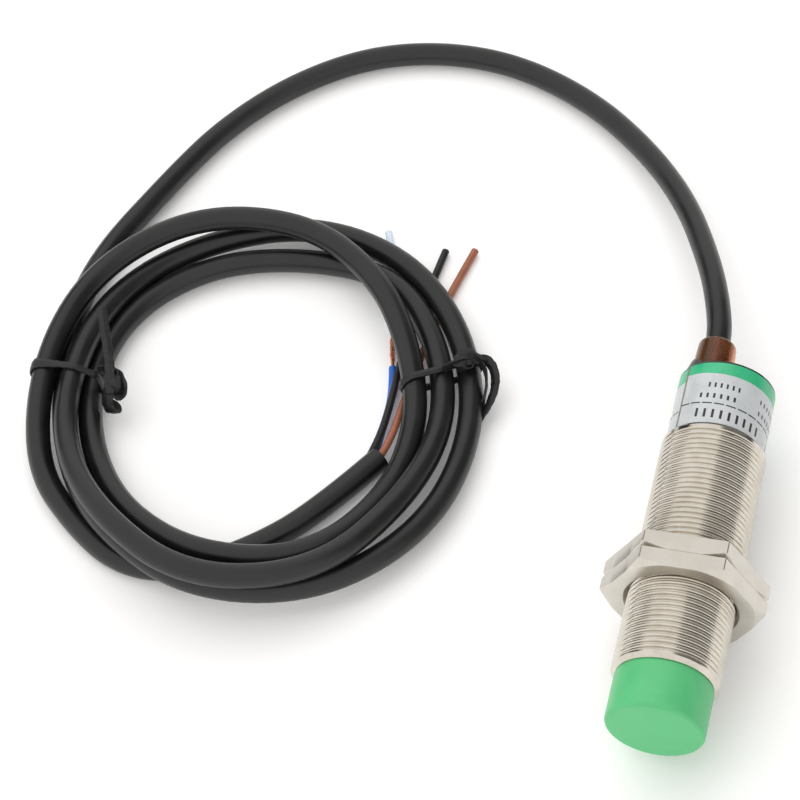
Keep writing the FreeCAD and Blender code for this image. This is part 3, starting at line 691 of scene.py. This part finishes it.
def rear_resin():
    """Black resin over the barrel's end, climbing a little up the collar."""
    columns, rows = 120, 22
    top, underside, reach, crown = 67.62, 66.4, 8.36, 0.55
    verts = []
    for c in range(columns):
        angle = 2 * math.pi * c / columns
        dx, dz = math.sin(angle), math.cos(angle)
        # distance from the collar's axis to the barrel's edge in this direction
        b = COLLAR_OFFSET * dx
        far = -b + math.sqrt(b * b - (COLLAR_OFFSET ** 2 - reach ** 2))
        near = COLLAR_BASE - 0.06
        heaped = max(0.0, math.cos(angle + 1.3)) ** 1.5
        for r in range(rows):
            share = (r / (rows - 1)) ** 1.5
            d = near + (far - near) * share
            x, z = COLLAR_OFFSET + d * dx, d * dz
            rise = (0.9 + 3.4 * heaped) * math.exp(-((d - near) / (0.5 + 0.45 * heaped)) ** 2)
            wave = 0.06 * perlin.noise(Vector((x * 0.5, z * 0.5, 3.0)))
            fall = -0.25 * ease((share - 0.95) / 0.05)
            verts.append((x, top + crown + rise + wave + fall - HALF_LENGTH, AXIS_HEIGHT + z))
        for r in reversed(range(rows)):
            share = (r / (rows - 1)) ** 1.5
            d = near + (far - near) * share
            if math.hypot(COLLAR_OFFSET + d * dx, d * dz) > BARREL_BORE - 0.05:
                under = top
            else:
                under = underside
            verts.append((COLLAR_OFFSET + d * dx, under - HALF_LENGTH, AXIS_HEIGHT + d * dz))
    ring = 2 * rows
    faces = []
    for c in range(columns):
        a, b = c * ring, (c + 1) % columns * ring
        for r in range(ring):
            t = (r + 1) % ring
            faces.append((a + r, b + r, b + t, a + t))
    obj = piece("resin_meniscus", verts, faces, "resin_black", sharp=60.0)
    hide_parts("rear_potting")


rear_resin()

# ------------------------------------------------------------------ cores at the cable's cut end
def sleeve(name, points, outer, inner, mat, sides=14):
    """A hollow tube along points read from a spline."""
    tangents = []
    for i in range(len(points)):
        tangents.append((points[min(i + 1, len(points) - 1)] - points[max(i - 1, 0)]).normalized())
    normal = tangents[0].orthogonal().normalized()
    verts, faces = [], []
    frames = []
    for i, point in enumerate(points):
        normal = (normal - tangents[i] * normal.dot(tangents[i])).normalized()
        frames.append((point, normal.copy(), tangents[i].cross(normal)))
    for radius in (outer, inner):
        for point, one, two in frames:
            for s in range(sides):
                a = 2 * math.pi * s / sides
                verts.append(point + one * (radius * math.cos(a)) + two * (radius * math.sin(a)))
    count = len(points)
    for layer in range(2):
        base = layer * count * sides
        for i in range(count - 1):
            for s in range(sides):
                t = (s + 1) % sides
                faces.append((base + i * sides + s, base + i * sides + t,
                              base + (i + 1) * sides + t, base + (i + 1) * sides + s))
    low = count * sides
    for i in (0, count - 1):
        for s in range(sides):
            t = (s + 1) % sides
            faces.append((i * sides + s, i * sides + t, low + i * sides + t, low + i * sides + s))
    return piece(name, verts, faces, mat, sharp=50.0)


BLACK_CORE = [(-60.7, 9.4, 2.75), (-59.4, 14.2, 3.1), (-59.5, 24.3, 2.2), (-60.4, 35.0, 0.72),
              (-59.3, 47.0, 0.72), (-58.0, 60.0, 0.72)]
BROWN_CORE = [(-59.4, 8.6, 2.75), (-57.5, 13.6, 3.0), (-57.3, 24.0, 2.1), (-56.9, 36.0, 0.72),
              (-55.2, 49.0, 0.72), (-52.6, 61.0, 0.72)]
CONDUCTOR = [(-59.7, 9.1, 1.35), (-59.9, 15.5, 1.2), (-59.8, 24.5, 0.74), (-61.2, 31.5, 0.74),
             (-63.0, 38.5, 0.74), (-64.5, 47.0, 0.74), (-66.5, 54.5, 0.74), (-69.6, 62.5, 0.74)]

black_core = cord_curve("core_black_run", BLACK_CORE, CORE_RADIUS, "pvc_black_core", detail=14)
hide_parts("core_black")
brown_core = cord_curve("core_brown_run", BROWN_CORE, CORE_RADIUS, "pvc_brown", detail=14)
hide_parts("core_brown")

wire_line = line_of(CONDUCTOR, detail=16)


def part_of(points, y_low, y_high):
    return [p for p in points if y_low <= p.y <= y_high]


def twisted_strands(name, points, strands, lay, wire, spread):
    """Bare strands twisted about a line, opened a little by a spread that varies along it."""
    verts, faces = [], []
    travelled, sides = 0.0, 7
    normal = (points[1] - points[0]).orthogonal().normalized()
    frames = []
    for i, point in enumerate(points):
        along = (points[min(i + 1, len(points) - 1)] - points[max(i - 1, 0)]).normalized()
        normal = (normal - along * normal.dot(along)).normalized()
        if i:
            travelled += (point - points[i - 1]).length
        frames.append((point, normal.copy(), along.cross(normal), travelled))
    for strand in range(strands):
        core = strand == 0
        base = len(verts)
        for i, (point, one, two, distance) in enumerate(frames):
            turn = 2 * math.pi * (strand / max(1, strands - 1) + distance / lay)
            reach = 0.0 if core else spread(point.y, strand)
            centre = point + one * (reach * math.cos(turn)) + two * (reach * math.sin(turn))
            for s in range(sides):
                a = 2 * math.pi * s / sides
                verts.append(centre + one * (wire * math.cos(a)) + two * (wire * math.sin(a)))
        for i in range(len(frames) - 1):
            for s in range(sides):
                t = (s + 1) % sides
                faces.append((base + i * sides + s, base + i * sides + t,
                              base + (i + 1) * sides + t, base + (i + 1) * sides + s))
        faces.append(tuple(base + s for s in range(sides)))
        faces.append(tuple(base + (len(frames) - 1) * sides + s for s in reversed(range(sides))))
    return piece(name, verts, faces, "copper", sharp=60.0)


BARE_START, BARE_END = 32.3, 40.5


def strand_spread(y, strand):
    """Strands lie tight inside the insulation and fan out a little where they are bare."""
    middle = ease((y - BARE_START) / 2.5) * ease((BARE_END - y) / 2.5)
    return 0.20 + middle * (0.16 + 0.10 * math.sin(strand * 2.4))


dense_line = [wire_line[i].lerp(wire_line[i + 1], s / 3) for i in range(len(wire_line) - 1)
              for s in range(3)] + [wire_line[-1]]
conductor = twisted_strands("conductor_strands", dense_line, 8, 5.0, 0.10, strand_spread)
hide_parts("copper_strands")
blue_sleeve = sleeve("insulation_blue", part_of(wire_line, 0.0, BARE_START), CORE_RADIUS, 0.34, "pvc_blue")
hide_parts("core_blue")
pale_slug = sleeve("insulation_pale", part_of(wire_line, BARE_END, 70.0), CORE_RADIUS, 0.34,
                   "pvc_pale_blue")
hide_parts("insulation_slug")

# ------------------------------------------------------------------ twist ties
TIE_THICK = 0.5
BAND_STANDOFF, BAND_LOWEST = 0.62, 0.6      # the band's middle line, as shares of its thickness
CIRCLE_POINTS, BAND_POINTS = 48, 110
# Half of the strip's section, as shares of its width and thickness: a core wire between two wings.
HALF_SECTION = [(-0.5, 0.0), (-0.46, 0.30), (-0.28, 0.34), (-0.14, 0.40), (-0.05, 0.52), (0.05, 0.52),
               (0.14, 0.40), (0.28, 0.34), (0.46, 0.30), (0.5, 0.0)]
FULL_SECTION = HALF_SECTION + [(x, -y) for x, y in reversed(HALF_SECTION[1:-1])]


def strip(line, across, width, closed=False, crumple=0.05):
    """Corners and faces of a flat strip along a line; across gives its width's direction."""
    verts, faces, sides = [], [], len(FULL_SECTION)
    count = len(line)
    for i, point in enumerate(line):
        ahead = line[(i + 1) % count] if closed else line[min(i + 1, count - 1)]
        behind = line[i - 1] if closed else line[max(i - 1, 0)]
        along = (ahead - behind).normalized()
        wide = across[i] - along * across[i].dot(along)
        wide.normalize()
        out = along.cross(wide)
        size = width * (1 + 0.12 * perlin.noise(point * 0.9))
        for x, y in FULL_SECTION:
            spot = point + wide * (x * size) + out * (y * TIE_THICK)
            spot += crumple * perlin.noise_vector(spot * 1.3)
            verts.append(spot)
    for i in range(count if closed else count - 1):
        a, b = i * sides, (i + 1) % count * sides
        for s in range(sides):
            t = (s + 1) % sides
            faces.append((a + s, a + t, b + t, b + s))
    if not closed:
        faces.append(tuple(range(sides)))
        faces.append(tuple((count - 1) * sides + s for s in reversed(range(sides))))
    return verts, faces


def rolling_width(line, start, twist_turns=0.0):
    """A width direction carried along a line without rolling, apart from a given twist."""
    wide = Vector(start)
    result = []
    for i in range(len(line)):
        along = (line[min(i + 1, len(line) - 1)] - line[max(i - 1, 0)]).normalized()
        wide = (wide - along * wide.dot(along)).normalized()
        turn = 2 * math.pi * twist_turns * i / len(line)
        result.append(wide * math.cos(turn) + along.cross(wide) * math.sin(turn))
    return result


cable_line = line_of(CABLE_ROUTE, detail=12)


def crossings(base, direction, reach):
    """Where the cable's centre line crosses an upright plane: (distance along it, height)."""
    normal = Vector((-direction.y, direction.x, 0))
    found = []
    for a, b in zip(cable_line, cable_line[1:]):
        da, db = (a - base).dot(normal), (b - base).dot(normal)
        if da * db < 0:
            spot = a.lerp(b, da / (da - db))
            distance = (spot - base).dot(direction)
            if -1.0 < distance < reach:
                found.append((distance, spot.z))
    return found


def hull(points):
    """The convex outline of points in a plane, counter-clockwise."""
    points = sorted(set(points))
    chains = []
    for order in (points, points[::-1]):
        chain = []
        for p in order:
            while len(chain) > 1 and ((chain[-1][0] - chain[-2][0]) * (p[1] - chain[-2][1])
                                      - (chain[-1][1] - chain[-2][1]) * (p[0] - chain[-2][0])) <= 0:
                chain.pop()
            chain.append(p)
        chains.append(chain[:-1])
    return chains[0] + chains[1]


def tie_band(base, direction, reach, lean, pulled):
    """A closed line drawn tight round the strands that cross an upright plane."""
    around = JACKET_RADIUS + TIE_THICK * BAND_STANDOFF
    circles = [(d + around * math.cos(t), max(z + around * math.sin(t), TIE_THICK * BAND_LOWEST))
               for d, z in crossings(base, direction, reach)
               for t in [2 * math.pi * k / CIRCLE_POINTS for k in range(CIRCLE_POINTS)]]
    outline = hull(circles + pulled)
    lengths = [math.dist(outline[i], outline[(i + 1) % len(outline)]) for i in range(len(outline))]
    total, count = sum(lengths), BAND_POINTS
    line, side = [], 0
    passed = 0.0
    normal = Vector((-direction.y, direction.x, 0))
    for k in range(count):
        target = total * k / count
        while passed + lengths[side] < target:
            passed += lengths[side]
            side += 1
        share = (target - passed) / lengths[side]
        a, b = outline[side], outline[(side + 1) % len(outline)]
        d, z = a[0] + (b[0] - a[0]) * share, a[1] + (b[1] - a[1]) * share
        sway = lean * math.sin(2 * math.pi * k / count)
        line.append(base + direction * d + Vector((0, 0, z)) + normal * sway)
    return line, [normal.copy() for _ in line]


def twist_tie(name, node, bands, strips):
    verts, faces = [], []

    def take(made):
        start = len(verts)
        verts.extend(made[0])
        faces.extend(tuple(start + i for i in face) for face in made[1])

    for base, end, lean, width, pulled in bands:
        base, end = Vector(base), Vector(end)
        line, across = tie_band(base, (end - base).normalized(), (end - base).length, lean, pulled)
        take(strip(line, across, width, closed=True))
    for route, start, twists, width in strips:
        line = line_of(route, detail=8)
        take(strip(line, rolling_width(line, start, twists), width, crumple=0.10))
    obj = piece(name, verts, faces, "tie_black", sharp=60.0)
    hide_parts(node)
    return obj


left_tie = twist_tie("tie_left_strip", "left_tie", [
    ((-110.6, 16.2, 0), (-127.5, 16.5, 0), 0.5, 1.3, [(1.6, 7.4), (1.2, 6.6)]),
    ((-110.6, 17.1, 0), (-127.5, 17.5, 0), -0.5, 1.3, [(1.6, 7.5), (1.2, 6.7)])], [
    ([(-111.6, 17.2, 8.4), (-109.2, 18.2, 8.9), (-107.5, 17.2, 7.8), (-107.8, 15.4, 6.8),
      (-109.3, 15.8, 7.5), (-108.6, 17.3, 8.3), (-106.9, 16.0, 7.7), (-106.0, 14.3, 6.6),
      (-107.1, 13.8, 5.6), (-108.0, 15.0, 6.2)],
     (0, 0, 1), 0.5, 2.4),
    ([(-110.4, 17.6, 8.4), (-108.3, 16.3, 8.8), (-107.8, 14.5, 7.8), (-109.2, 14.2, 6.4),
      (-109.3, 12.8, 5.2), (-108.4, 11.4, 4.2), (-107.7, 12.2, 3.2), (-108.6, 13.6, 3.6),
      (-109.6, 12.4, 4.4)], (1, 0, 0), 0.3, 2.5),
    ([(-108.7, 13.6, 6.9), (-108.9, 16.2, 9.3), (-110.2, 20.0, 11.1), (-112.1, 24.2, 12.1),
      (-113.7, 28.2, 12.1)], (1, 0.3, 0), 0.06, 1.8)])
right_tie = twist_tie("tie_right_strip", "right_tie", [
    ((-58.4, 24.6, 0), (-43.8, 34.9, 0), 0.3, 1.45, [])], [
    ([(-50.8, 29.0, 7.0), (-48.6, 30.6, 7.8), (-46.4, 32.2, 7.4), (-46.0, 31.2, 5.8),
      (-47.6, 30.0, 5.8), (-48.6, 31.4, 6.9), (-47.0, 32.8, 7.8), (-45.2, 31.8, 7.6),
      (-44.2, 32.4, 6.4), (-45.2, 33.4, 5.6), (-46.6, 32.6, 6.2)], (0, 0, 1), 0.7, 2.5),
    ([(-50.2, 30.2, 6.4), (-48.2, 31.8, 6.6), (-47.4, 33.4, 5.8), (-46.0, 33.6, 5.4),
      (-45.8, 32.2, 6.6), (-47.4, 31.0, 7.4), (-49.2, 30.8, 7.6)], (1, 0, 1), 0.5, 2.2),
    ([(-47.0, 31.2, 7.5), (-44.2, 32.8, 7.2), (-42.3, 31.8, 6.2), (-41.3, 29.4, 5.0),
      (-41.5, 26.6, 3.6), (-42.7, 23.6, 2.3), (-43.8, 21.0, 1.3)], (0, 1, 1), 0.12, 1.9),
    ([(-46.0, 32.4, 6.7), (-44.1, 31.8, 6.8), (-43.0, 29.6, 5.2), (-42.9, 27.2, 3.7),
      (-43.2, 24.2, 2.3), (-43.9, 21.6, 1.3)], (1, 0, 1), 0.2, 1.8)])

# ------------------------------------------------------------------ finishes on the CAD nodes that stay
for node in NODES.values():
    for held in node.material_slots:
        finish = held.material.name.split(".")[0] if held.material else ""
        if finish in MATS:
            held.material = MATS[finish]
